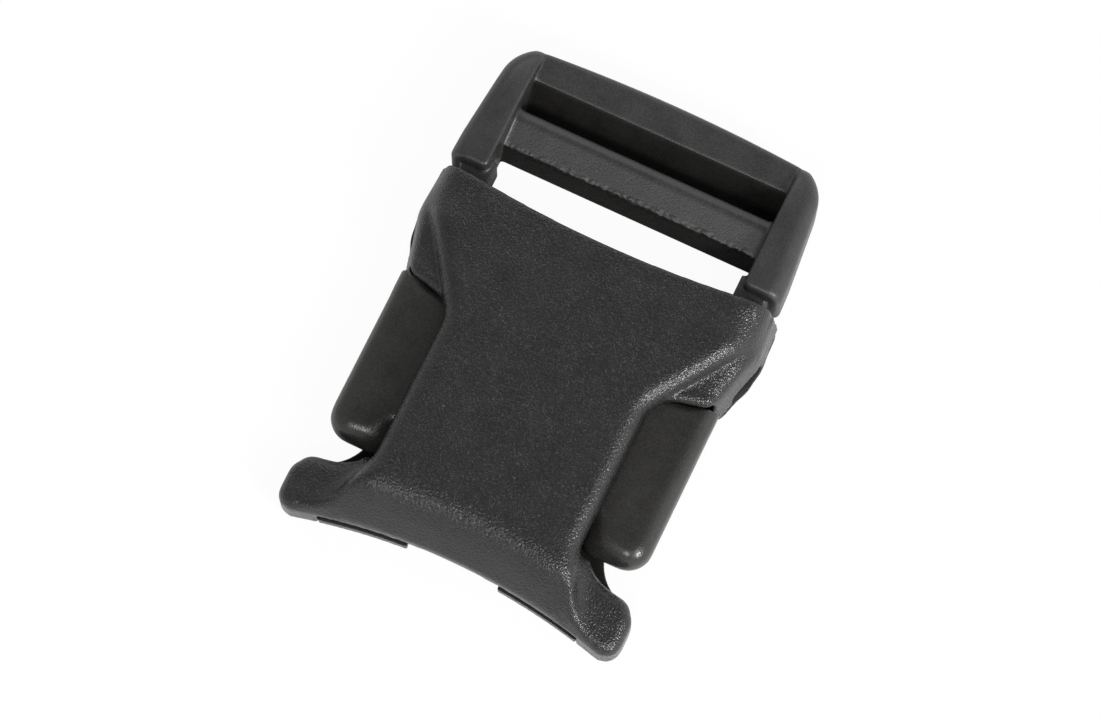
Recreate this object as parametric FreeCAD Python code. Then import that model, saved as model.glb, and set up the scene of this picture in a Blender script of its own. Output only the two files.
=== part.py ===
"""Side-release buckle for 38 mm webbing, with a ladder adjuster on the plug and a split bar on the socket.

The socket is one moulding: a sculpted cover, a flat floor, a cross wall, two guide ribs and two half bars.
The plug is the other: a ladder frame, a base bar, a guide tongue and two springy arms that end in squeeze pads.
+Y runs along the pull from the socket's webbing end to the plug's outer bar, +Z is up.
X = 0 is the mirror plane. The origin is in the middle of the footprint, on the surface that
the buckle lies on. Lengths are in millimetres.
"""

import FreeCAD
import Part
import math
import os
from FreeCAD import Vector

# Webbing that the buckle is made for
webbing_width = 38.0
slot_side_clearance = 0.7  # free width beside the webbing, on each side

# Lengths along Y, from the socket's webbing end to the plug's outer edge
foot_length = 8.3
tip_gap = 3.8  # free space between a foot and the tip of a squeeze pad
pad_length = 25.5
latch_gap = 0.4  # play between a pad's latch face and the shoulder that holds it
shoulder_length = 15.6
mouth_gap = 1.2  # between the socket's mouth and the ends of the ladder's side rails
inner_slot_rest = 4.1  # from the rail ends to the centre bar
center_bar_width = 6.9
outer_slot_width = 4.3
outer_bar_width = 5.5

# Widths in X, each from the side of the webbing slot outwards
rail_width = 6.1
rail_end_width = 4.1
foot_wall_width = 6.3
shoulder_wall_width = 7.3  # where the shoulder is widest, at the floor
shoulder_end_wall_width = 5.0
shoulder_mouth_wall_width = 6.9
ear_wall_width = 6.9
pad_proud = 4.7
pad_width = 10.0
pad_lap = 1.1  # how far a pad reaches in under the edge of the waist
floor_ledge = 2.6  # how far the floor reaches out past the waist

# Heights in Z
floor_thickness = 1.6
bay_height = 6.2  # room between the floor and the cover for the pads, the tongue and the base bar
cover_height = 11.6
core_depth = 1.7  # recess in the cover's underside that keeps its wall even
rail_height = 9.6
foot_height = 6.0
platform_height = 9.0  # of the shoulders' outer parts, a step below the cover's top
plug_clearance = 0.3  # between the plug and the inside of the socket

# Cover
front_bow = 3.1  # how far the front edge curves back at its middle
mouth_bow = 2.2
edge_round = 2.6
foot_edge_round = 1.6
foot_corner_round = 2.4
foot_rear_taper = 1.6
foot_flare_rise = 1.4
foot_flare_round = 7.0
body_front_flare = 6.0  # how much wider the cover's raised body gets from the waist to the front
body_flare_start = 2.5  # where its sides start to flare, behind the feet
body_flare_round = 12.0
foot_blend_round = 3.0  # of the hollow corner between the raised body and a foot
waist_end_round = 1.5
shoulder_corner_round = 1.2
shoulder_slant = 2.4  # rise of the shoulder's end face from the waist outwards
shoulder_bulge_from_mouth = 7.0  # where the shoulder is widest
shoulder_bulge_round = 6.0
shoulder_draft = 1.9  # how far the shoulder's sides lean in from the floor to the top
platform_edge_round = 1.1
platform_lap = 0.7  # how far the platforms reach over the pads' latch ends
platform_blend_round = 1.6
ridge_lead = 2.6  # how far before the waist's end the raised body starts to widen
ridge_angle = 33.5  # degrees, of the raised body's edge across the shoulder from the Y axis
ridge_start_round = 4.5
ridge_end_round = 3.0
front_slope_angle = 50.0  # degrees, of the front facet
front_slope_round = 4.5
front_roll_lift = 0.02  # keeps the roll's tool from just touching the flat top
front_lip_drop = 6.2  # of the front facet's lower edge below the cover's top
side_wall_thickness = 2.7
side_wall_end = 1.7  # its thickness where a pad latches behind it
side_wall_end_setback = 0.4
side_wall_round = 20.0
window_from_shoulder = 3.1
window_length = 6.0  # low opening in the shoulder's side wall
window_height = 1.5

# Floor
ear_start_inset = 2.0
ear_front_from_shoulder = 5.5
ear_rear_from_mouth = 3.6
ear_round = 6.0
ear_mouth_taper = 2.4

# Hollow under the cover
bay_wall_inset = 2.5  # of the hollow's sides from the waist, at the cross wall
bay_tip_inset = 1.0  # the same at the tips of the pads
bay_tip_clearance = 0.4
bay_shoulder_slope = 0.3  # of the hollow's end past the shoulder's end face
core_inset = 1.0
core_flare = 6.0
core_front_round = 2.0
core_waist_round = 4.0

# Split bar and the webbing slot behind it
split_gap = 13.8
bar_depth = 4.6
bar_end_round = 1.5
bar_thickness = 1.9
webbing_slot_depth = 3.2
lip_gap = 1.7  # between the half bars and the roof above them

# Cross wall and guide ribs
cross_wall_thickness = 1.6
rib_thickness = 1.4
rib_end_round = 0.65
rib_length = 20.0
rib_setback = 3.0  # of the ribs' ends from the base bar
rib_clearance = 0.4
tongue_half_width = 4.6
tongue_tip_half_width = 3.8
tongue_tip_round = 2.5
tongue_length = 26.0

# Plug
frame_corner_round = 6.5
frame_bow = 1.2
frame_edge_round = 2.6
frame_lower_round = 0.8
rail_side_taper = 0.4
rail_side_round = 40.0
rail_near_round = 0.9
rail_lip_round = 0.6  # of the rails' inner top edges
rail_drop_start = 1.0  # where the rails' tops start to fall, from the outer bar
rail_drop_run = 9.5
rail_drop_round = 24.0
base_bar_depth = 4.2
base_bar_inset = 0.3  # of the base bar's rear edge from the socket's mouth
neck_width = 4.6
neck_inset = 0.8  # how far the necks reach inwards from the rails' inner faces
neck_overlap = 2.0
outer_bar_drop = 1.8  # of the outer bar's top below the rails
outer_bar_fall = 0.6  # of the frame's top, past the outer bar
outer_bar_bottom = 0.8
outer_bar_round = 0.8
outer_bar_lean = 3.4  # how far the outer bar's inner face leans in towards the centre bar
center_bar_drop = 1.6  # of its ridge below the rails
center_bar_edge_drop = 1.6  # of the edge that bites the webbing below the ridge
center_bar_bottom = 1.2
center_bar_bead = 1.6  # width of the narrow facet behind the centre bar's ridge
center_bar_bead_drop = 0.7
center_bar_rake = 1.0
center_bar_undercut = 1.8
center_bar_edge_round = 0.3
center_bar_ridge_round = 1.5
center_bar_low_round = 0.6

# Springy arms
pivot_inset = 6.9  # of the arm's pivot from the shoulder's outer side
pivot_setback = 0.4  # of the knuckle behind the base bar's front face
knuckle_radius = 1.7
knuckle_clearance = 0.06
beam_width = 2.4
beam_top_drop = 1.6  # of the beam's top below the pad's
beam_root_gap = 0.25  # between the beam and the seat's mouth at full squeeze
arm_travel = 8.0  # degrees
pad_inner_tip_round = 2.4
pad_tip_round = 3.6
pad_edge_round = 2.5

# Cutting tools
run_on = 6.0  # how far outlines run on past edges that are cut later
reach = 20.0  # how far tools go past the part
skin = 1.0  # how far they start outside a face

# Places that follow from the sizes above
slot_half = webbing_width / 2 + slot_side_clearance
foot_half_width = slot_half + foot_wall_width
shoulder_half_width = slot_half + shoulder_wall_width
shoulder_end_half_width = slot_half + shoulder_end_wall_width
shoulder_mouth_half_width = slot_half + shoulder_mouth_wall_width
floor_ear_half_width = slot_half + ear_wall_width
pad_half_width = slot_half + pad_proud
pad_inner = pad_half_width - pad_width
waist_half_width = pad_inner + pad_lap
floor_waist_half_width = waist_half_width + floor_ledge
rail_half_width = slot_half + rail_width
rail_end_half_width = slot_half + rail_end_width
overall_length = (
    foot_length + tip_gap + pad_length + latch_gap + shoulder_length + mouth_gap
    + inner_slot_rest + center_bar_width + outer_slot_width + outer_bar_width
)
y_front = -overall_length / 2
y_foot_rear = y_front + foot_length
y_pad_tip = y_foot_rear + tip_gap
y_pad_end = y_pad_tip + pad_length
y_shoulder = y_pad_end + latch_gap
y_mouth = y_shoulder + shoulder_length
y_rail = y_mouth + mouth_gap
y_center_bar = y_rail + inner_slot_rest
y_outer_slot = y_center_bar + center_bar_width
y_outer_bar = y_outer_slot + outer_slot_width
y_end = y_outer_bar + outer_bar_width
y_lip = y_front + front_bow
y_slot_front = y_front + bar_depth
y_slot_rear = y_slot_front + webbing_slot_depth
y_wall_rear = y_slot_rear + cross_wall_thickness
y_base_rear = y_mouth - mouth_bow - base_bar_inset
y_base_front = y_base_rear - base_bar_depth
y_waist_end = y_shoulder - shoulder_slant  # where the shoulder leaves the waist
y_bulge = y_mouth - shoulder_bulge_from_mouth
bay_ceiling = floor_thickness + bay_height
front_lip_top = cover_height - front_lip_drop
outer_bar_top = rail_height - outer_bar_drop
center_bar_top = rail_height - center_bar_drop
center_bar_edge = center_bar_top - center_bar_edge_drop
plug_low = floor_thickness + plug_clearance
plug_high = bay_ceiling - plug_clearance
front_half_width = foot_half_width - foot_corner_round
front_radius = (front_half_width**2 + front_bow**2) / (2 * front_bow)
mouth_radius = (shoulder_half_width**2 + mouth_bow**2) / (2 * mouth_bow)
pivot_x = shoulder_half_width - pivot_inset
pivot_y = y_base_front + knuckle_radius + pivot_setback
side = foot_half_width + reach


def rounded_edges(corners, to_point):
    """Edges of a closed path through (u, v, radius) corners, each corner rounded by a tangent arc."""
    points = [Vector(u, v, 0) for u, v, _ in corners]
    cuts = []
    for i, (_, _, radius) in enumerate(corners):
        here = points[i]
        back = (points[i - 1] - here).normalize()
        ahead = (points[(i + 1) % len(points)] - here).normalize()
        turn = math.pi - back.getAngle(ahead)
        if radius == 0 or turn < 1e-6:
            cuts.append((here, None, here))
            continue
        setback = radius * math.tan(turn / 2)
        to_arc = (back + ahead).normalize() * (radius / math.cos(turn / 2) - radius)
        cuts.append((here + back * setback, here + to_arc, here + ahead * setback))
    edges = []
    for i, (start, middle, end) in enumerate(cuts):
        if middle is not None:
            edges.append(Part.Arc(to_point(start), to_point(middle), to_point(end)).toShape())
        following = cuts[(i + 1) % len(cuts)][0]
        if (following - end).Length > 1e-6:
            edges.append(Part.LineSegment(to_point(end), to_point(following)).toShape())
    return edges


def prism(corners, low, high):
    """Upright solid over a rounded plan outline."""
    edges = rounded_edges(corners, lambda p: Vector(p.x, p.y, low))
    return Part.Face(Part.Wire(edges)).extrude(Vector(0, 0, high - low))


def bar_along_x(corners, half_length):
    """Solid with a rounded (y, z) section, running across the buckle."""
    edges = rounded_edges(corners, lambda p: Vector(-half_length, p.x, p.y))
    return Part.Face(Part.Wire(edges)).extrude(Vector(2 * half_length, 0, 0))


def both_sides(right_half):
    """A plan outline from its right half, listed from front to back."""
    left_half = [(-x, y, r) for x, y, r in reversed(right_half) if x > 0]
    return right_half + left_half


def box(x_low, x_high, y_low, y_high, z_low, z_high):
    size = Vector(x_high - x_low, y_high - y_low, z_high - z_low)
    return Part.makeBox(size.x, size.y, size.z, Vector(x_low, y_low, z_low))


def mirrored(shape):
    return shape.mirror(Vector(0, 0, 0), Vector(1, 0, 0))


def edges_between(shape, low, high):
    """Edges that lie wholly between two heights."""
    return [e for e in shape.Edges if e.BoundBox.ZMin > low - 1e-5 and e.BoundBox.ZMax < high + 1e-5]


def upright_disc(center_y, radius, low, high):
    return Part.makeCylinder(radius, high - low, Vector(0, center_y, low))


# Socket


def front_cutter():
    """What lies in front of the bowed front edge."""
    return upright_disc(y_lip - front_radius, front_radius, -skin, cover_height + skin)


def facet_cutter():
    """What lies above the sloping front facet and the roll that joins it to the top."""
    slope = math.radians(front_slope_angle)
    center_y = y_lip - front_radius
    high = cover_height + front_roll_lift
    setback = front_slope_round * math.tan(slope / 2)
    roll_end = front_radius + front_lip_drop / math.tan(slope) + setback
    low = Vector(front_radius, center_y, front_lip_top)
    roll_axis = Vector(roll_end, center_y, high - front_slope_round)
    turns = (slope, slope / 2, 0)
    roll = [roll_axis + Vector(-math.sin(a), 0, math.cos(a)) * front_slope_round for a in turns]
    above = [Vector(roll_end, center_y, high + skin)]
    above += [Vector(0, center_y, z) for z in (high + skin, low.z)]
    edges = [Part.LineSegment(low, roll[0]).toShape(), Part.Arc(*roll).toShape()]
    edges += Part.makePolygon([roll[2]] + above + [low]).Edges
    return Part.Face(Part.Wire(edges)).revolve(Vector(0, center_y, 0), Vector(0, 0, 1), 360)


def mouth_cutter(inset, low, high):
    """What lies behind the bowed mouth."""
    return upright_disc(y_mouth - mouth_bow - inset + mouth_radius, mouth_radius, low, high)


def shoulder_outline(waist, lap):
    """Right side's corners from the end of the waist, or a lap before it; the sides are cut later."""
    past_side = shoulder_half_width + run_on
    end_slope = shoulder_slant / (shoulder_end_half_width - waist)
    return [
        (waist, y_waist_end - lap, waist_end_round),
        (past_side, y_waist_end - lap + (past_side - waist) * end_slope, 0),
        (past_side, y_mouth + run_on, 0),
    ]


def foot_outline(waist):
    """Right side's corners from the front to the waist, with the concave flare between a foot and the waist."""
    return [
        (foot_half_width, y_front - run_on, foot_corner_round),
        (foot_half_width, y_foot_rear - foot_corner_round, foot_corner_round),
        (foot_half_width - foot_rear_taper, y_foot_rear, foot_corner_round),
        (waist, y_foot_rear + foot_flare_rise, foot_flare_round),
    ]


def ridge_x(y):
    """Place in X of the raised body's edge across the right shoulder."""
    return waist_half_width + (y - y_waist_end + ridge_lead) * math.tan(math.radians(ridge_angle))


def body_outline():
    """Plan of the cover's raised body, which is narrower than the feet."""
    return both_sides([
        (waist_half_width + body_front_flare, y_front - run_on, 0),
        (waist_half_width, y_foot_rear + body_flare_start, body_flare_round),
        (waist_half_width, y_waist_end - ridge_lead, ridge_start_round),
        (ridge_x(y_mouth + run_on), y_mouth + run_on, 0),
    ])


def side_cutter(start, end):
    """What lies outside the leaning side of the right shoulder, over a plan line at the floor."""
    along = (end - start).normalize()
    outward = Vector(along.y, -along.x, 0)
    lean = shoulder_draft / cover_height
    origin = start - along * run_on
    low = origin + outward * lean * skin - Vector(0, 0, skin)
    high = origin - outward * lean * (cover_height + skin) + Vector(0, 0, cover_height + skin)
    section = Part.makePolygon([low, high, high + outward * reach, low + outward * reach, low])
    return Part.Face(section).extrude(along * ((end - start).Length + 2 * run_on))


def shoulder_sides():
    """Tools for the front and rear parts of both shoulders' sides, front parts first."""
    front = Vector(shoulder_end_half_width, y_shoulder, 0)
    bulge = Vector(shoulder_half_width, y_bulge, 0)
    rear = Vector(shoulder_mouth_half_width, y_mouth, 0)
    tools = [side_cutter(front, bulge), side_cutter(bulge, rear)]
    return tools + [mirrored(tool) for tool in tools]


def hollow_corner(start, end, height, radius):
    """Filling of the hollow corner that a lower face makes with the raised body's wall and rounded rim."""
    wall = cover_height - edge_round - height
    width = math.sqrt((edge_round + radius)**2 - (radius - wall)**2) - edge_round
    rise = wall + edge_round * (radius - wall) / (edge_round + radius)
    along = end - start
    outward = Vector(-along.y, along.x, 0).normalize()
    low = start + Vector(0, 0, height)
    up = Vector(0, 0, rise)
    inner, outer = low - outward * skin, low + outward * width
    corners = [inner, outer, outer + up, inner + up]
    block = Part.Face(Part.makePolygon(corners + corners[:1])).extrude(along)
    return block.cut(Part.makeCylinder(radius, along.Length, outer + Vector(0, 0, radius), along))


def foot_blend():
    """Hollow corner between the raised body and the right foot."""
    start = Vector(waist_half_width, y_foot_rear + body_flare_start, 0)
    end = Vector(waist_half_width + body_front_flare, y_front - run_on, 0)
    return hollow_corner(start, end, foot_height, foot_blend_round).cut([facet_cutter(), front_cutter()])


def platform_blend():
    """Hollow corner between the raised body and the right shoulder's platform."""
    start = Vector(ridge_x(y_mouth + run_on), y_mouth + run_on, 0)
    end = Vector(waist_half_width, y_waist_end - ridge_lead, 0)
    blend = hollow_corner(start, end, platform_height, platform_blend_round)
    room = prism(both_sides(shoulder_outline(waist_half_width, platform_lap)), 0, cover_height)
    return blend.common(room.cut(shoulder_sides()))


def pad_bay():
    """Hollow between the floor and the cover, open at both sides of the waist."""
    y_tips = y_pad_tip - bay_tip_clearance
    y_side = y_shoulder + bay_shoulder_slope * (side - shoulder_end_half_width)
    wall_inside = shoulder_half_width - side_wall_thickness
    plan = both_sides([
        (waist_half_width - bay_wall_inset, y_wall_rear, 0),
        (waist_half_width - bay_tip_inset, y_tips, 0),
        (side, y_tips, 0),
        (side, y_side, 0),
        (shoulder_end_half_width, y_shoulder, 0),
        (shoulder_end_half_width - side_wall_end, y_shoulder - side_wall_end_setback, 0),
        (wall_inside, y_bulge, side_wall_round),
        (wall_inside, y_mouth + run_on, 0),
    ])
    return prism(plan, floor_thickness, bay_ceiling)


def cover_core():
    """Recess that keeps the cover's wall even over the waist."""
    half = waist_half_width - side_wall_thickness - core_inset
    plan = both_sides([
        (half, y_wall_rear + core_inset, core_front_round),
        (half, y_waist_end, core_waist_round),
        (half + core_flare, y_base_front - core_inset, core_front_round),
    ])
    return prism(plan, bay_ceiling - skin, bay_ceiling + core_depth)


def side_windows():
    """Low openings in the shoulders' side walls."""
    start = y_shoulder + window_from_shoulder
    return box(-side, side, start, start + window_length, 0, floor_thickness + window_height)


def webbing_bay():
    """Room for the webbing's loop, over the half bars and behind them."""
    return box(-slot_half, slot_half, y_front - reach, y_slot_rear, -skin, bar_thickness + lip_gap)


def rounded_rim(blank, height, radius):
    """A flat-topped blank with its rim rounded, but for the bowed ends."""
    rim = [e for e in edges_between(blank, height, height) if e.BoundBox.XMin * e.BoundBox.XMax > 0]
    return blank.makeFillet(radius, rim)


def upright_edges(shape, y_low, y_high):
    """Edges that rise through half the shape's height or more, between two places along Y."""
    box_now = shape.BoundBox
    return [e for e in shape.Edges if e.BoundBox.ZLength > box_now.ZLength / 2
            and e.BoundBox.YMin > y_low and e.BoundBox.YMax < y_high]


def raised_body():
    """The cover's highest part, from the front facet to the mouth."""
    ends = [front_cutter(), mouth_cutter(0, -skin, cover_height + skin)]
    body = prism(body_outline(), 0, cover_height).cut(ends + shoulder_sides()[1::2])
    body = body.makeFillet(foot_corner_round, upright_edges(body, y_front - run_on, y_lip))
    body = body.makeFillet(ridge_end_round, upright_edges(body, y_waist_end, y_mouth - mouth_bow))
    return rounded_rim(body, cover_height, edge_round).cut(facet_cutter())


def feet():
    """Low slabs of both feet, joined under the raised body."""
    slab_end = (waist_half_width, y_foot_rear + foot_flare_rise + foot_flare_round, 0)
    slab = prism(both_sides(foot_outline(waist_half_width) + [slab_end]), 0, foot_height).cut(front_cutter())
    slab = slab.makeFillet(foot_corner_round, upright_edges(slab, y_front - run_on, y_lip))
    return rounded_rim(slab, foot_height, foot_edge_round)


def platforms():
    """The outer parts of both shoulders, joined under the raised body."""
    slab = prism(both_sides(shoulder_outline(waist_half_width, platform_lap)), 0, platform_height)
    slab = slab.cut([mouth_cutter(0, -skin, cover_height + skin)] + shoulder_sides())
    slab = slab.makeFillet(shoulder_corner_round, upright_edges(slab, y_waist_end, y_shoulder + skin))
    slab = slab.makeFillet(shoulder_bulge_round, upright_edges(slab, y_bulge - skin, y_bulge + skin))
    return rounded_rim(slab, platform_height, platform_edge_round)


def top_shell():
    """The socket's cover with its shoulders and feet."""
    blends = [foot_blend(), platform_blend()]
    blends += [mirrored(blend) for blend in blends]
    shell = raised_body().fuse([feet(), platforms()] + blends).removeSplitter()
    floor_room = box(-side, side, y_slot_rear, y_mouth + reach, -skin, floor_thickness)
    wall_room = box(-pad_inner, pad_inner, y_slot_rear, y_wall_rear, -skin, bay_ceiling)
    return shell.cut([pad_bay(), cover_core(), side_windows(), webbing_bay(), floor_room, wall_room])


def bottom_shell():
    """The socket's floor, with an ear under each shoulder."""
    ear = floor_ear_half_width
    outline = foot_outline(floor_waist_half_width) + shoulder_outline(floor_waist_half_width, 0)
    plate = prism(both_sides(outline), 0, floor_thickness)
    ears = prism(both_sides([
        (0, y_waist_end, 0),
        (shoulder_end_half_width - ear_start_inset, y_waist_end + skin, ear_start_inset),
        (ear, y_shoulder + ear_front_from_shoulder, ear_round),
        (ear, y_mouth - ear_rear_from_mouth, ear_round),
        (ear - ear_mouth_taper, y_mouth + run_on, 0),
        (0, y_mouth + run_on, 0),
    ]), 0, floor_thickness)
    slot_room = box(-side, side, y_front - reach, y_slot_rear, -skin, cover_height)
    wall_room = box(-pad_inner, pad_inner, y_slot_rear, y_wall_rear, -skin, cover_height)
    plate = plate.cut(shoulder_sides()).fuse(ears).cut([slot_room, mouth_cutter(0, -skin, cover_height)])
    plate = plate.removeSplitter()
    return plate.cut(wall_room)


def cross_wall():
    """Wall between the webbing slot and the pads' hollow."""
    return box(-pad_inner, pad_inner, y_slot_rear, y_wall_rear, 0, bay_ceiling)


def right_half_bar():
    """One of the two short bars that the webbing's loop is slipped over."""
    inner = split_gap / 2
    plan = [
        (inner, y_front, bar_end_round),
        (slot_half, y_front, 0),
        (slot_half, y_slot_front, 0),
        (inner, y_slot_front, bar_end_round),
    ]
    bar = prism(plan, 0, bar_thickness)
    return bar.cut(front_cutter())


def right_guide_rib():
    """Rib that steers the plug's tongue."""
    inner = tongue_half_width + rib_clearance
    start = y_base_front - rib_setback - rib_length
    plan = [
        (inner, start, rib_end_round),
        (inner + rib_thickness, start, rib_end_round),
        (inner + rib_thickness, start + rib_length, rib_end_round),
        (inner, start + rib_length, rib_end_round),
    ]
    return prism(plan, floor_thickness, bay_ceiling + core_depth)


# Plug


def frame_blank():
    """The ladder frame before its slots: outline, falling top and rounded rims."""
    bow_radius = (rail_end_half_width**2 + frame_bow**2) / (2 * frame_bow)
    blank = prism(both_sides([
        (rail_half_width, y_rail - run_on, 0),
        (rail_half_width - rail_side_taper, y_center_bar, rail_side_round),
        (rail_end_half_width, y_end, frame_corner_round),
    ]), 0, rail_height)
    blank = blank.common(upright_disc(y_end - bow_radius, bow_radius, -skin, rail_height + skin))
    falling_top = bar_along_x([
        (y_rail - reach, -skin, 0),
        (y_rail - reach, rail_height, 0),
        (y_outer_bar - rail_drop_start, rail_height, rail_drop_round),
        (y_outer_bar - rail_drop_start + rail_drop_run, outer_bar_top - outer_bar_fall, 0),
        (y_outer_bar - rail_drop_start + rail_drop_run, -skin, 0),
    ], side)
    blank = blank.common(falling_top)
    rim = [e for e in blank.Edges if e.BoundBox.ZMin > outer_bar_top - frame_edge_round]
    blank = blank.makeFillet(frame_edge_round, rim)
    return blank.makeFillet(frame_lower_round, edges_between(blank, 0, 0))


def right_rail():
    """Side rail with its half of the frame's corner, and the neck that runs into the socket's mouth."""
    rail = frame_blank().common(box(slot_half, side, y_rail, y_end + skin, -skin, rail_height + skin))
    lip = [e for e in rail.Edges if e.BoundBox.XMax < slot_half + 1e-4 and e.BoundBox.ZMin > center_bar_edge]
    rail = rail.makeFillet(rail_lip_round, lip)
    near = [e for e in rail.Edges if e.BoundBox.YMax < y_rail + 1e-4 and e.BoundBox.ZMin > frame_edge_round]
    rail = rail.makeFillet(rail_near_round, near)
    inner = slot_half - neck_inset
    neck = box(inner, inner + neck_width, y_base_rear - skin, y_rail + neck_overlap, plug_low, plug_high)
    neck = neck.common(mouth_cutter(base_bar_inset, -skin, rail_height + skin))
    return rail.fuse(neck).removeSplitter()


def outer_bar():
    """End bar that the webbing's free end wraps."""
    blank = frame_blank()
    section = bar_along_x([
        (y_outer_bar - outer_bar_lean, outer_bar_bottom, outer_bar_round),
        (y_outer_bar, outer_bar_top, outer_bar_round),
        (y_end + skin, outer_bar_top, 0),
        (y_end + skin, -skin, 0),
        (y_outer_bar, -skin, 0),
    ], slot_half)
    return blank.common(section)


def center_bar():
    """Middle bar with a ridge along its top and a sharp edge that bites the webbing."""
    return bar_along_x([
        (y_center_bar, center_bar_bottom, center_bar_low_round),
        (y_center_bar + center_bar_rake, center_bar_edge, center_bar_edge_round),
        (y_outer_slot - center_bar_bead, center_bar_top, center_bar_ridge_round),
        (y_outer_slot, center_bar_top - center_bar_bead_drop, center_bar_low_round),
        (y_outer_slot - center_bar_undercut, center_bar_bottom, center_bar_low_round),
    ], slot_half)


def knuckle(clearance):
    """Round end of an arm, where its thin root bends."""
    radius = knuckle_radius + clearance
    return Part.makeCylinder(radius, plug_high - plug_low, Vector(pivot_x, pivot_y, plug_low))


def base_bar():
    """Cross bar in the socket's mouth that carries the tongue and both arms."""
    half = shoulder_half_width - side_wall_thickness - plug_clearance
    bar = box(-half, half, y_base_front, y_mouth, plug_low, plug_high)
    bar = bar.cut(mouth_cutter(base_bar_inset, -skin, rail_height + skin))
    reach_in = pivot_y - y_base_front
    swing = beam_width / 2 + reach_in * math.tan(math.radians(arm_travel)) + beam_root_gap
    mouth = box(pivot_x - swing, pivot_x + beam_width / 2 + beam_root_gap,
                y_base_front - skin, pivot_y, plug_low, plug_high)
    seat = knuckle(knuckle_clearance).fuse(mouth)
    return bar.cut([seat, mirrored(seat)])


def guide_tongue():
    """Flat tongue that centres the plug between the socket's ribs."""
    tip = y_base_front - tongue_length
    return prism(both_sides([
        (tongue_tip_half_width, tip, tongue_tip_round),
        (tongue_half_width, y_base_front, 0),
    ]), plug_low, plug_high)


# Springy arms


def right_arm():
    """Beam from the knuckle to the pad."""
    beam = box(pivot_x - beam_width / 2, pivot_x + beam_width / 2,
               y_pad_end - shoulder_slant / 2, pivot_y, plug_low, plug_high - beam_top_drop)
    return beam.fuse(knuckle(0)).removeSplitter().cut(right_pad())


def right_pad():
    """Squeeze pad, with its latch face at the end nearer to the shoulder."""
    plan = [
        (pad_inner - run_on, y_pad_tip, 0),
        (pad_half_width, y_pad_tip, pad_tip_round),
        (pad_half_width, y_pad_end + run_on, 0),
        (pad_inner - run_on, y_pad_end + run_on, 0),
    ]
    pad = prism(plan, plug_low, plug_high)
    rims = [e for e in pad.Edges if e.BoundBox.ZLength < 1e-5 and e.BoundBox.YMin < y_pad_end
            and e.BoundBox.XMax > pad_inner]
    pad = pad.makeFillet(pad_edge_round, rims)
    outline = [
        (pad_inner, y_pad_tip, pad_inner_tip_round),
        (pad_half_width + skin, y_pad_tip, 0),
        (pad_half_width + skin, y_pad_end + skin * shoulder_slant / pad_width, 0),
        (pad_inner, y_pad_end - shoulder_slant, 0),
    ]
    return pad.common(prism(outline, 0, cover_height))


parts = {
    "top_shell": top_shell(),
    "bottom_shell": bottom_shell(),
    "cross_wall": cross_wall(),
    "outer_bar": outer_bar(),
    "center_bar": center_bar(),
    "base_bar": base_bar(),
    "guide_tongue": guide_tongue(),
}
pairs = {
    "half_bar": right_half_bar(),
    "guide_rib": right_guide_rib(),
    "rail": right_rail(),
    "latch_arm": right_arm(),
    "squeeze_pad": right_pad(),
}
for name, shape in pairs.items():
    parts["right_" + name] = shape
    parts["left_" + name] = mirrored(shape)

os.makedirs("parts", exist_ok=True)
for name, shape in parts.items():
    shape.exportStep(f"parts/{name}.step")
    print(name, shape.isValid(), len(shape.Solids), round(shape.Volume, 1))
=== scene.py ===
import math

import bmesh
import bpy
from mathutils import Matrix, Vector, noise


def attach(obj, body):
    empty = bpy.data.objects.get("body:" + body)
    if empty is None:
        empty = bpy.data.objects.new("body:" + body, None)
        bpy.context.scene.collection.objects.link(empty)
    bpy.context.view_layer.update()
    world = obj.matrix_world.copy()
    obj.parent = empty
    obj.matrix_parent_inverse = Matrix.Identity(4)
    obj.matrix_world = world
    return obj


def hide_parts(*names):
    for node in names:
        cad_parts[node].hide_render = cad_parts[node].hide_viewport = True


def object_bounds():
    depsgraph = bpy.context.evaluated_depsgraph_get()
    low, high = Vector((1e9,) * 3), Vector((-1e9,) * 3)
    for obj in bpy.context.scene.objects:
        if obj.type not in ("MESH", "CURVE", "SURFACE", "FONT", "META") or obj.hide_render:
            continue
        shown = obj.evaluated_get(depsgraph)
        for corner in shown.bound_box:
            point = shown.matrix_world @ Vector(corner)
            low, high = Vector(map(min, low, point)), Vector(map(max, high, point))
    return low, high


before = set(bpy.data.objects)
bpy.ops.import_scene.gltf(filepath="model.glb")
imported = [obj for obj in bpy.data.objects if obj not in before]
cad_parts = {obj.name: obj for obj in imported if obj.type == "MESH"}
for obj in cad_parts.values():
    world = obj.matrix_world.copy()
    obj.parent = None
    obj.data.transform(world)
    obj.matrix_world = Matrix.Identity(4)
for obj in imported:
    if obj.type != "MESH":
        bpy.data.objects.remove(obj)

cad_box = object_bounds()


# Socket cover: the sculpted upper half of the socket, with its two shoulders and two feet.
# It is injection moulded in black acetal, in a mould spark-eroded to a coarse, sparkling grain.
# It is one piece with the floor, the cross wall, the guide ribs and the half bars under it.
def rubbed(skin, points):
    """One pass of a toolmaker's stone: each point goes half way to the middle of its neighbours."""
    bmesh.ops.smooth_vert(skin, verts=points, factor=0.5,
                          use_axis_x=True, use_axis_y=True, use_axis_z=True)


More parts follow.
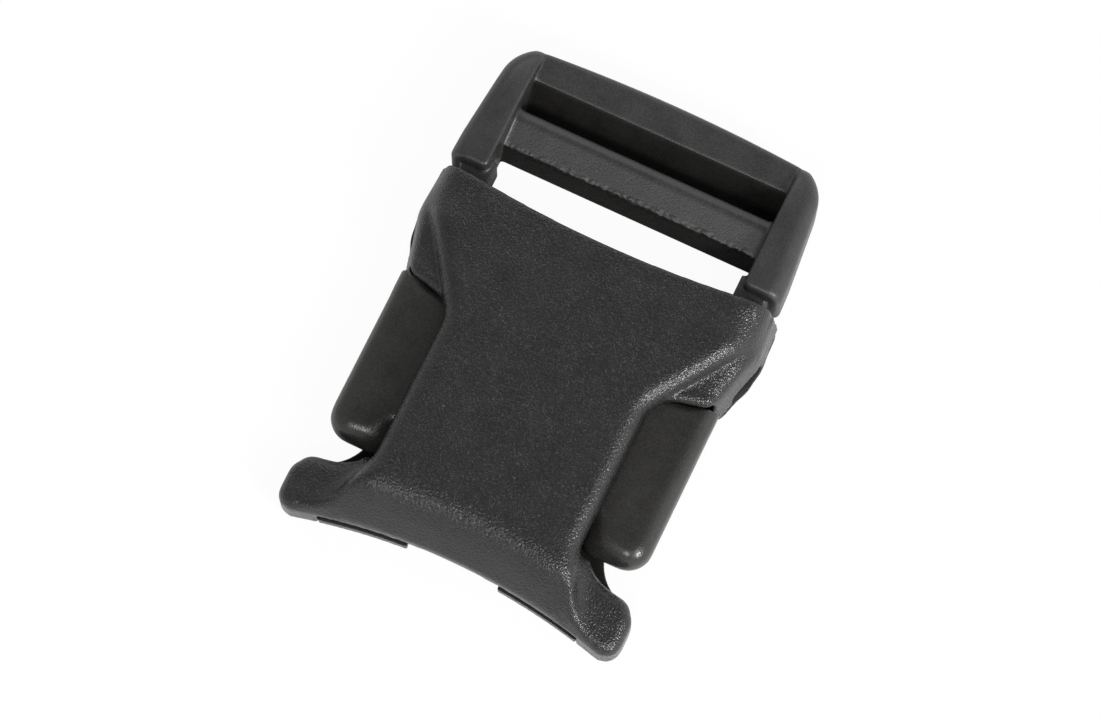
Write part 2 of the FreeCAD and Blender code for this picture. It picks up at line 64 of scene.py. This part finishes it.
def moulded(name, nodes, step, soften):
    """One moulded skin round the given solids, its corners eased as a mould's corners are."""
    skin = bmesh.new()
    for node in nodes:
        skin.from_mesh(bpy.data.objects[node].data)
    bmesh.ops.remove_doubles(skin, verts=skin.verts, dist=1e-6)
    mesh = bpy.data.meshes.new(name)
    skin.to_mesh(mesh)
    skin.free()
    piece = bpy.data.objects.new(name, mesh)
    bpy.context.collection.objects.link(piece)
    remesh = piece.modifiers.new("even skin", "REMESH")
    remesh.mode = "VOXEL"
    remesh.voxel_size = step
    settled = bpy.context.evaluated_depsgraph_get()
    even = bpy.data.meshes.new_from_object(piece.evaluated_get(settled))
    piece.modifiers.clear()
    skin = bmesh.new()
    skin.from_mesh(even)
    for _ in range(soften):
        rubbed(skin, skin.verts)
    for face in skin.faces:
        face.smooth = True
    skin.to_mesh(mesh)
    skin.free()
    return piece


def eased(piece, passes, *zones):
    """Rubs zones of a skin down. Each zone is a test on a point, and the widest comes first."""
    skin = bmesh.new()
    skin.from_mesh(piece.data)
    for zone in zones:
        points = [v for v in skin.verts if zone(v.co)]
        for _ in range(passes):
            rubbed(skin, points)
    skin.to_mesh(piece.data)
    skin.free()


def carved(piece, *cuts):
    """Carves a skin as a toolmaker cuts a mould: each cut shifts the points that it reaches."""
    skin = bmesh.new()
    skin.from_mesh(piece.data)
    for v in skin.verts:
        for cut in cuts:
            cut(v.co)
    skin.to_mesh(piece.data)
    skin.free()


def ramp(distance, length):
    """0 up to the start of a slope, 1 from its end."""
    return min(1.0, max(0.0, distance / length))


def bell(distance, width):
    """1 in the middle of a soft bump, falling to nearly 0 at twice its width."""
    return math.exp(-(distance / width) ** 2)


class Tone:
    """A shader value that Python's operators work on."""

    def __init__(self, tree, socket=None):
        self.tree = tree
        self.socket = socket

    def node(self, kind, inputs=None, output=0, **settings):
        """A node of any kind: its settings first, then the values or links of its sockets."""
        made = self.tree.nodes.new(kind)
        for key, value in settings.items():
            setattr(made, key, value)
        for key, value in (inputs or {}).items():
            if isinstance(value, Tone):
                self.tree.links.new(value.socket, made.inputs[key])
            else:
                made.inputs[key].default_value = value
        return Tone(self.tree, made.outputs[output] if made.outputs else None)

    def math(self, operation, first, second):
        return self.node("ShaderNodeMath", {0: first, 1: second}, operation=operation)

    def __add__(self, other):
        return self.math("ADD", self, other)

    def __mul__(self, other):
        return self.math("MULTIPLY", self, other)

    def __sub__(self, other):
        return self.math("SUBTRACT", self, other)

    def __rsub__(self, other):
        return self.math("SUBTRACT", other, self)

    def __pow__(self, other):
        return self.math("POWER", self, other)

    __radd__ = __add__
    __rmul__ = __mul__


def grained_plastic(name, color, grain, depth, gloss, sparkle, seam=None, shine=0.5):
    """Black acetal with a spark-eroded grain.

    The grain is per millimetre and its depth is in metres. A seam is the height of the mould's
    parting line in millimetres, which shows as a fine dark groove.
    """
    per_metre, noise_mean = 1000.0, 0.5
    pit_grain, cloud_grain = 0.8 * grain, 0.25
    fine_height, pit_height = 0.7, 0.5
    fine_tint, cloud_tint, cloud_gloss = 1.6, 0.8, 0.08
    darkest, lightest = 0.45, 1.55
    seam_sharpness, seam_depth = 8.0, 0.6
    material = bpy.data.materials.new(name)
    material.use_nodes = True
    tree = material.node_tree
    tree.nodes.clear()
    tone = Tone(tree)
    place = tone.node("ShaderNodeTexCoord", output="Object")
    place = tone.node("ShaderNodeVectorMath", {"Vector": place, "Scale": per_metre},
                      operation="SCALE")
    fine = tone.node("ShaderNodeTexNoise",
                     {"Vector": place, "Scale": grain, "Detail": 2.0, "Roughness": 0.5})
    pits = tone.node("ShaderNodeTexVoronoi", {"Vector": place, "Scale": pit_grain}, feature="F1")
    cloud = tone.node("ShaderNodeTexNoise", {"Vector": place, "Scale": cloud_grain, "Detail": 2.0})
    height = fine * fine_height + (1.0 - pits) * pit_height
    tint = (fine - noise_mean) * fine_tint + (cloud - noise_mean) * cloud_tint + 0.5
    if seam is not None:
        away = tone.node("ShaderNodeSeparateXYZ", {0: place}, output="Z") - seam
        line = tone.math("MINIMUM", tone.math("ABSOLUTE", away, 0.0) * seam_sharpness, 1.0)
        height = height + line * seam_depth
        tint = tint * line
    bump = tone.node("ShaderNodeBump", {"Height": height, "Distance": depth, "Strength": 1.0})
    dark = (*[c * darkest for c in color], 1)
    light = (*[c * lightest for c in color], 1)
    shade = tone.node("ShaderNodeMix", {0: tint, 6: dark, 7: light}, output=2,
                      data_type="RGBA", clamp_factor=True)
    rough = gloss + sparkle * (fine - noise_mean) + cloud_gloss * (cloud - noise_mean)
    surface = tone.node("ShaderNodeBsdfPrincipled",
                        {"Base Color": shade, "Roughness": rough, "Normal": bump,
                         "Specular IOR Level": shine})
    tone.node("ShaderNodeOutputMaterial", {"Surface": surface})
    return material


front_bow, front_radius = 0.0031, 0.1191
front_center = cad_box[0].y + front_bow - front_radius
mouth_middle, mouth_diameter = 0.0136, 0.309
ridge_x, ridge_y, ridge_slope = 0.0155, -0.0048, 0.662
ridge_square = 0.834  # turns a length along X into one square to the ridge
gap_y, gap_slant = -0.0029, 0.28
platform_z = 0.0068  # the shoulders' platforms lie above this height


def behind_front(p):
    """How far a point lies behind the bowed front edge."""
    return math.hypot(p.x, p.y - front_center) - front_radius


def before_mouth(p):
    """How far a point lies in front of the bowed mouth."""
    return mouth_middle + p.x * p.x / mouth_diameter - p.y


def past_ridge(p):
    """How far a point lies outside the raised body's edge across the shoulder."""
    return abs(p.x) - ridge_x - max(0.0, p.y - ridge_y) * ridge_slope


def platform(p):
    """The lip behind the latch gap, the soft valley below the ridge and the fall to the side."""
    front, rear, margin, rear_fade, low_fade = -0.004, 0.0105, 0.001, 0.004, 0.0018
    lip_height, lip_middle, lip_width = 0.00045, 0.0008, 0.0006
    fillet, least, fillet_share = 0.0016, 0.00025, 0.55
    inner_reach, inner_fade = 0.00045, 0.0007
    fall, fall_start = 0.17, 0.0010
    out = past_ridge(p)
    if p.y > front and out > -margin and p.z > platform_z and before_mouth(p) > margin:
        behind_gap = p.y - gap_y - (abs(p.x) - ridge_x) * gap_slant
        lip = bell(behind_gap - lip_middle, lip_width) * ramp(out, margin)
        square = out * ridge_square
        across = min(max(square, least), fillet)
        valley = fillet - math.sqrt(fillet ** 2 - (fillet - across) ** 2)
        valley *= ramp(square + inner_reach, inner_fade) * ramp(rear - p.y, rear_fade)
        p.z += ramp(p.z - platform_z, low_fade) * (
            lip_height * lip - fillet_share * valley - fall * max(0.0, out - fall_start))


def front_roll(p):
    """The swell of the rolled front edge between the feet."""
    swell, swell_middle, reach, low, low_fade = 0.00070, 0.0024, 0.0110, 0.0035, 0.0025
    half_width, side_fade = 0.0165, 0.0030
    if p.z > low and behind_front(p) < reach:
        middle = ramp(half_width - abs(p.x), side_fade) * ramp(p.z - low, low_fade)
        p.z += swell * middle * bell(behind_front(p) - swell_middle, swell_middle)


def foot_top(p):
    """The slope of a foot's top, down to its outer side."""
    slope, rear, inner, low, low_fade = 0.13, -0.0270, 0.0205, 0.0025, 0.0025
    if p.y < rear and abs(p.x) > inner and p.z > low:
        p.z -= slope * (abs(p.x) - inner) * ramp(p.z - low, low_fade)


def mouth_corner(p):
    """The rolled corner at each end of the mouth."""
    curl, inner, front, front_fade, low_fade = 50.0, 0.0195, 0.0060, 0.0035, 0.0024
    if p.y > front and abs(p.x) > inner and p.z > platform_z:
        share = ramp(p.z - platform_z, low_fade) * ramp(p.y - front, front_fade)
        p.z -= share * curl * (abs(p.x) - inner) ** 2


cover_plastic = grained_plastic("cover_grained_acetal", (0.0118, 0.0118, 0.0120),
                                grain=3.8, depth=0.00013, gloss=0.23, sparkle=0.06)
cover = moulded("socket_cover", ["top_shell"], step=0.00026, soften=7)
carved(cover, platform, front_roll, foot_top, mouth_corner)
# The roll of the front edge.
eased(cover, 16,
      lambda p: 0.0022 < behind_front(p) < 0.0100 and p.z > 0.0070,
      lambda p: 0.0028 < behind_front(p) < 0.0092 and p.z > 0.0074)
# The hollow where each foot meets the body.
eased(cover, 10,
      lambda p: 0.0105 < abs(p.x) < 0.0225 and p.y < -0.0215 and p.z > 0.0045,
      lambda p: 0.0115 < abs(p.x) < 0.0215 and p.y < -0.0225 and p.z > 0.0050)
# The shoulders' platforms and the valley below the ridge.
eased(cover, 22,
      lambda p: (past_ridge(p) > 0.0002 and -0.0022 < p.y < 0.0130
                 and before_mouth(p) > 0.0010 and p.z > 0.0062),
      lambda p: (past_ridge(p) > 0.0010 and 0.0006 < p.y < 0.0110
                 and before_mouth(p) > 0.0014 and p.z > 0.0062))
# The mouth's corners.
eased(cover, 40,
      lambda p: abs(p.x) > 0.0180 and p.y > 0.0080 and before_mouth(p) > 0.0014 and p.z > 0.0058,
      lambda p: abs(p.x) > 0.0190 and p.y > 0.0088 and before_mouth(p) > 0.0018 and p.z > 0.0062,
      lambda p: abs(p.x) > 0.0200 and p.y > 0.0096 and before_mouth(p) > 0.0024 and p.z > 0.0066)
cover.data.materials.append(cover_plastic)
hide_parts("top_shell")
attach(cover, "socket")


# Socket floor: the flat lower half of the socket, with an ear under each shoulder.
# It is moulded in one with the cover, of the same acetal, and grained like it on its sides.
# Its upper faces come off the mould's core, which has a finer and duller finish; they are also
# painted darker, as painted shade inside the socket.
# Painted shade: this darker, duller plastic stands for the shade in the hollows and on the slot
# walls.
painted_shade_plastic = grained_plastic("core_acetal_painted_shade", (0.0110, 0.0106, 0.0100),
                               grain=4.4, depth=0.00002, gloss=0.5, sparkle=0.1, shine=0.12)


def shade_painted(piece, test):
    """Gives the faces of a skin that pass a test the core's finer, duller finish, darkened as
    painted shade.
    """
    piece.data.materials.append(painted_shade_plastic)
    for face in piece.data.polygons:
        if test(face):
            face.material_index = 1


floor_plate = moulded("socket_floor", ["bottom_shell"], step=0.00024, soften=8)
# The ears' outer edges.
eased(floor_plate, 30,
      lambda p: abs(p.x) > 0.0235 and p.y > -0.0010,
      lambda p: abs(p.x) > 0.0240 and p.y > 0.0)
floor_plate.data.materials.append(cover_plastic)
# The floor's upward faces inside the socket get painted shade.
shade_painted(floor_plate, lambda face: face.normal.z > 0.6)
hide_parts("bottom_shell")
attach(floor_plate, "socket")


# Inner walls of the socket: the cross wall, the two guide ribs and the split bar's two halves.
# They are moulded in one with the cover and the floor, of the same acetal.
# The fixed end of the webbing is slipped on to the half bars through the split between them.
def finished(node, plastic):
    """Gives a solid that keeps its own shape the finish of its moulding."""
    mesh = bpy.data.objects[node].data
    mesh.materials.clear()
    mesh.materials.append(plastic)


for node in ("cross_wall", "left_guide_rib", "right_guide_rib"):
    finished(node, cover_plastic)
for side in ("left", "right"):
    bar = moulded(side + "_split_bar", [side + "_half_bar"], step=0.00018, soften=4)
    bar.data.materials.append(cover_plastic)
    # The half bars' upward faces get painted shade.
    shade_painted(bar, lambda face: face.normal.z > 0.4)
    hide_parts(side + "_half_bar")
    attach(bar, "socket")


# Ladder frame of the plug: two side rails with a centre bar and an outer bar between them.
# It is one injection moulding in black acetal, with a finer grain than the socket's, and the base
# bar and the guide tongue inside the mouth belong to it. The centre bar's front edge is jagged.
def bitten(p):
    """The jagged front edge of the centre bar, which bites into the webbing."""
    reach, edge_y, edge_z, depth, grain = 0.0192, 0.0221, 0.0064, 0.00013, 1900.0
    if abs(p.x) < reach and abs(p.y - edge_y) < 0.0007 and abs(p.z - edge_z) < 0.0009:
        p += noise.noise_vector(p * grain) * depth


def slot_wall(face):
    """Whether a face is on a wall of the inner slot or on the outer slot's rear wall."""
    at, facing = face.center, face.normal
    inner = 0.0205 < at.y < 0.0270 and abs(facing.y) > 0.75 and at.z < 0.0078
    outer = 0.0270 < at.y < 0.0345 and facing.y < -0.5 and at.z < 0.0090
    return abs(at.x) < 0.0196 and (inner or outer)


frame_plastic = grained_plastic("frame_grained_acetal", (0.0230, 0.0227, 0.0225),
                                grain=4.4, depth=0.000025, gloss=0.40, sparkle=0.1, seam=1.6)
ladder = moulded("plug_ladder", ["outer_bar", "center_bar", "left_rail", "right_rail"],
                 step=0.00022, soften=5)
noise.seed_set(1)  # the edge is broken in the same way each time
carved(ladder, bitten)
# The outer bar's edge along the slot.
eased(ladder, 14, lambda p: 0.0266 < p.y < 0.0338 and p.z > 0.0056 and abs(p.x) < 0.0194)
ladder.data.materials.append(frame_plastic)
# The slots' walls get painted shade, about half the frame's tone.
shade_painted(ladder, slot_wall)
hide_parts("outer_bar", "center_bar", "left_rail", "right_rail")
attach(ladder, "plug")
for node in ("base_bar", "guide_tongue"):
    finished(node, frame_plastic)


# Latch arms and squeeze pads: a springy arm on each side, with a pad that the fingers press in.
# They are moulded in one with the ladder, in satin black acetal, and bend at the arms' roots.
# The mould parts half way up a pad, which leaves a fine line along its side.
def pad_tip(p):
    """The rounded inner corner of a pad's tip."""
    inner_x, tip_y, radius, curl, low, low_fade = 0.0205, -0.0207, 0.0022, 110.0, 0.0035, 0.0030
    corner = math.hypot(max(0.0, inner_x - abs(p.x)), max(0.0, tip_y - p.y))
    if corner > radius and p.y < tip_y and abs(p.x) < inner_x and p.z > low:
        p.z -= curl * (corner - radius) ** 2 * ramp(p.z - low, low_fade)


def latch_end(p):
    """The end of a pad that dips under the shoulder."""
    dip, length, low, outer_x, side_fade = 0.0009, 0.0036, 0.0045, 0.0228, 0.0025
    if p.y > -length and p.z > low:
        p.z -= dip * ramp(outer_x - abs(p.x), side_fade) * ((p.y + length) / length) ** 2


pad_plastic = grained_plastic("pad_satin_acetal", (0.0178, 0.0174, 0.0158),
                              grain=4.6, depth=0.00003, gloss=0.25, sparkle=0.06, seam=3.0)
for side in ("left", "right"):
    pad = moulded(side + "_pad", [side + "_squeeze_pad"], step=0.0002, soften=4)
    carved(pad, pad_tip, latch_end)
    eased(pad, 30,
          lambda p: p.y < -0.0030 and p.z > 0.0040,
          lambda p: p.y < -0.0040 and p.z > 0.0048)
    pad.data.materials.append(pad_plastic)
    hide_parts(side + "_squeeze_pad")
    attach(pad, side + "_arm")
    finished(side + "_latch_arm", pad_plastic)


# Table top: a plain sheet of matt white card that the buckle lies on.
# Looked at directly it is white, and it keeps the buckle's shadow.
table_half, table_drop = 1.5, 0.00005
white_seen, white_mirrored = 0.95, 0.04
sheet = bmesh.new()
bmesh.ops.create_grid(sheet, x_segments=1, y_segments=1, size=table_half,
                      matrix=Matrix.Translation((0, 0, -table_drop)))
table_mesh = bpy.data.meshes.new("table")
sheet.to_mesh(table_mesh)
sheet.free()
table = bpy.data.objects.new("table", table_mesh)
bpy.context.collection.objects.link(table)
white = bpy.data.materials.new("white_sheet")
white.use_nodes = True
white.node_tree.nodes.clear()
tone = Tone(white.node_tree)
camera_ray = tone.node("ShaderNodeLightPath", output="Is Camera Ray")
glossy_ray = tone.node("ShaderNodeLightPath", output="Is Glossy Ray")
clear_ray = tone.node("ShaderNodeLightPath", output="Is Transmission Ray")
glow = tone.node("ShaderNodeEmission", {"Color": (1, 1, 1, 1), "Strength": 1.0})
paper = tone.node("ShaderNodeBsdfDiffuse", {"Color": (0.8, 0.8, 0.8, 1)})
lit = tone.node("ShaderNodeMixShader",
                {0: (camera_ray + clear_ray) * white_seen + glossy_ray * white_mirrored,
                 1: paper, 2: glow})
tone.node("ShaderNodeOutputMaterial", {"Surface": lit})
table.data.materials.append(white)


# Camera: a long lens, high over the buckle's front right corner.
target, distance = Vector((-0.0002, -0.0031, 0.005)), 0.5554
azimuth, elevation, roll = math.radians(25.15), math.radians(74.0), math.radians(0.4)
view_width, view_distance = 1100, 4000  # the view is this wide at this distance
back = Vector((math.sin(azimuth) * math.cos(elevation),
               -math.cos(azimuth) * math.cos(elevation), math.sin(elevation)))
lens = bpy.data.cameras.new("camera")
lens.sensor_width = 36.0
lens.lens = lens.sensor_width * view_distance / view_width
lens.clip_start = 0.01
camera = bpy.data.objects.new("camera", lens)
bpy.context.collection.objects.link(camera)
camera.location = target + back * distance
aim = (-back).to_track_quat("-Z", "Y").to_matrix()
camera.rotation_euler = (aim @ Matrix.Rotation(roll, 3, "Z")).to_euler()
bpy.context.scene.camera = camera


# Studio: a white tent, a little brighter on the right, with four soft boxes in it.
# The key stands low to the right and has a small one over it. One is in front, and a wide, weak one
# is behind.
def soft_box(name, direction, reach, width, height, power):
    """A soft box at a distance from the buckle, turned to face it."""
    lamp = bpy.data.lights.new(name, "AREA")
    lamp.shape = "RECTANGLE"
    lamp.size, lamp.size_y, lamp.energy = width, height, power
    box = bpy.data.objects.new(name, lamp)
    bpy.context.collection.objects.link(box)
    along = Vector(direction).normalized()
    box.location = along * reach
    box.rotation_euler = (-along).to_track_quat("-Z", "Y").to_euler()


soft_box("key", (0.777, -0.314, 0.545), reach=0.8, width=0.12, height=0.18, power=5.0)
soft_box("key_top", (0.57, -0.17, 0.80), reach=0.8, width=0.12, height=0.18, power=0.7)
soft_box("front", (0.08, -0.58, 0.81), reach=0.8, width=0.13, height=0.20, power=1.55)
soft_box("rear", (-0.34, 0.72, 0.60), reach=0.9, width=0.70, height=0.30, power=1.15)

roof_glow, wall_glow, right_glow, wall_fade = 0.17, 0.90, 0.37, 0.7
world = bpy.data.worlds.new("tent")
world.use_nodes = True
world.node_tree.nodes.clear()
tone = Tone(world.node_tree)
direction = tone.node("ShaderNodeTexCoord", output="Generated")
upward = tone.node("ShaderNodeSeparateXYZ", {0: direction}, output="Z")
rightward = tone.node("ShaderNodeSeparateXYZ", {0: direction}, output="X")
wall = tone.math("MAXIMUM", 1.0 - upward, 0.0) ** wall_fade
strength = roof_glow + wall * (wall_glow + right_glow * rightward)
sky = tone.node("ShaderNodeBackground", {"Color": (1, 1, 1, 1), "Strength": strength})
tone.node("ShaderNodeOutputWorld", {"Surface": sky})
bpy.context.scene.world = world
bpy.context.scene.view_settings.view_transform = "Standard"
